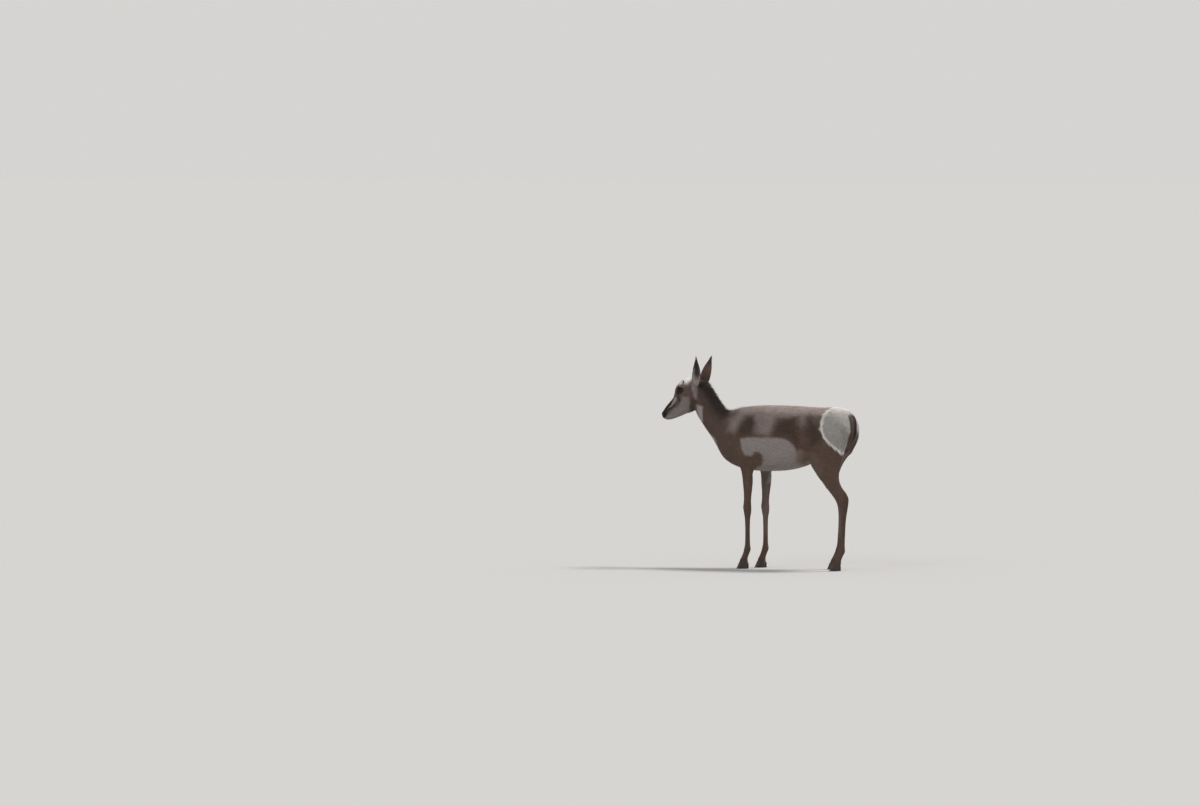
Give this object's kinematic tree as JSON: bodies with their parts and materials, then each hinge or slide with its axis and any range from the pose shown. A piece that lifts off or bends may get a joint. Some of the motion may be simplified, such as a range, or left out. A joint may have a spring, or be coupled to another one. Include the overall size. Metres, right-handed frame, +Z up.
{
  "type": "pronghorn",
  "caption": "Life-size standing pronghorn doe with slim legs, upright leaf-shaped ears, a short hanging tail, tiny horn buds and two-toed hooves, head and neck held level with the body's line",
  "frame": {"origin": "on the floor under the middle of the bounding box; the soles of all eight toes lie in the plane Z = 0", "axes": "the pronghorn faces -Y, so +Y runs from nose to rump and is the longest side; its left side is +X; +Z is up"},
  "size_m": [0.2668, 1.1173, 1.0865],
  "materials": {
    "coat": "short dense fur, brown with white rump, belly and throat patches",
    "eye": "wet, very glossy, near black",
    "horn": "dark horn, slightly rough",
    "hoof": "dark horn, satin"
  },
  "bodies": {
    "root": {"head": "coat", "neck": "coat", "trunk": "coat", "tail": "coat", "ear_left": "coat", "ear_right": "coat", "leg_front_left": "coat", "leg_front_right": "coat", "leg_hind_left": "coat", "leg_hind_right": "coat", "eye_left": "eye", "eye_right": "eye", "horn_left": "horn", "horn_right": "horn", "hoof_front_left_outer": "hoof", "hoof_front_left_inner": "hoof", "hoof_front_right_outer": "hoof", "hoof_front_right_inner": "hoof", "hoof_hind_left_outer": "hoof", "hoof_hind_left_inner": "hoof", "hoof_hind_right_outer": "hoof", "hoof_hind_right_inner": "hoof"}
  },
  "joints": []
}
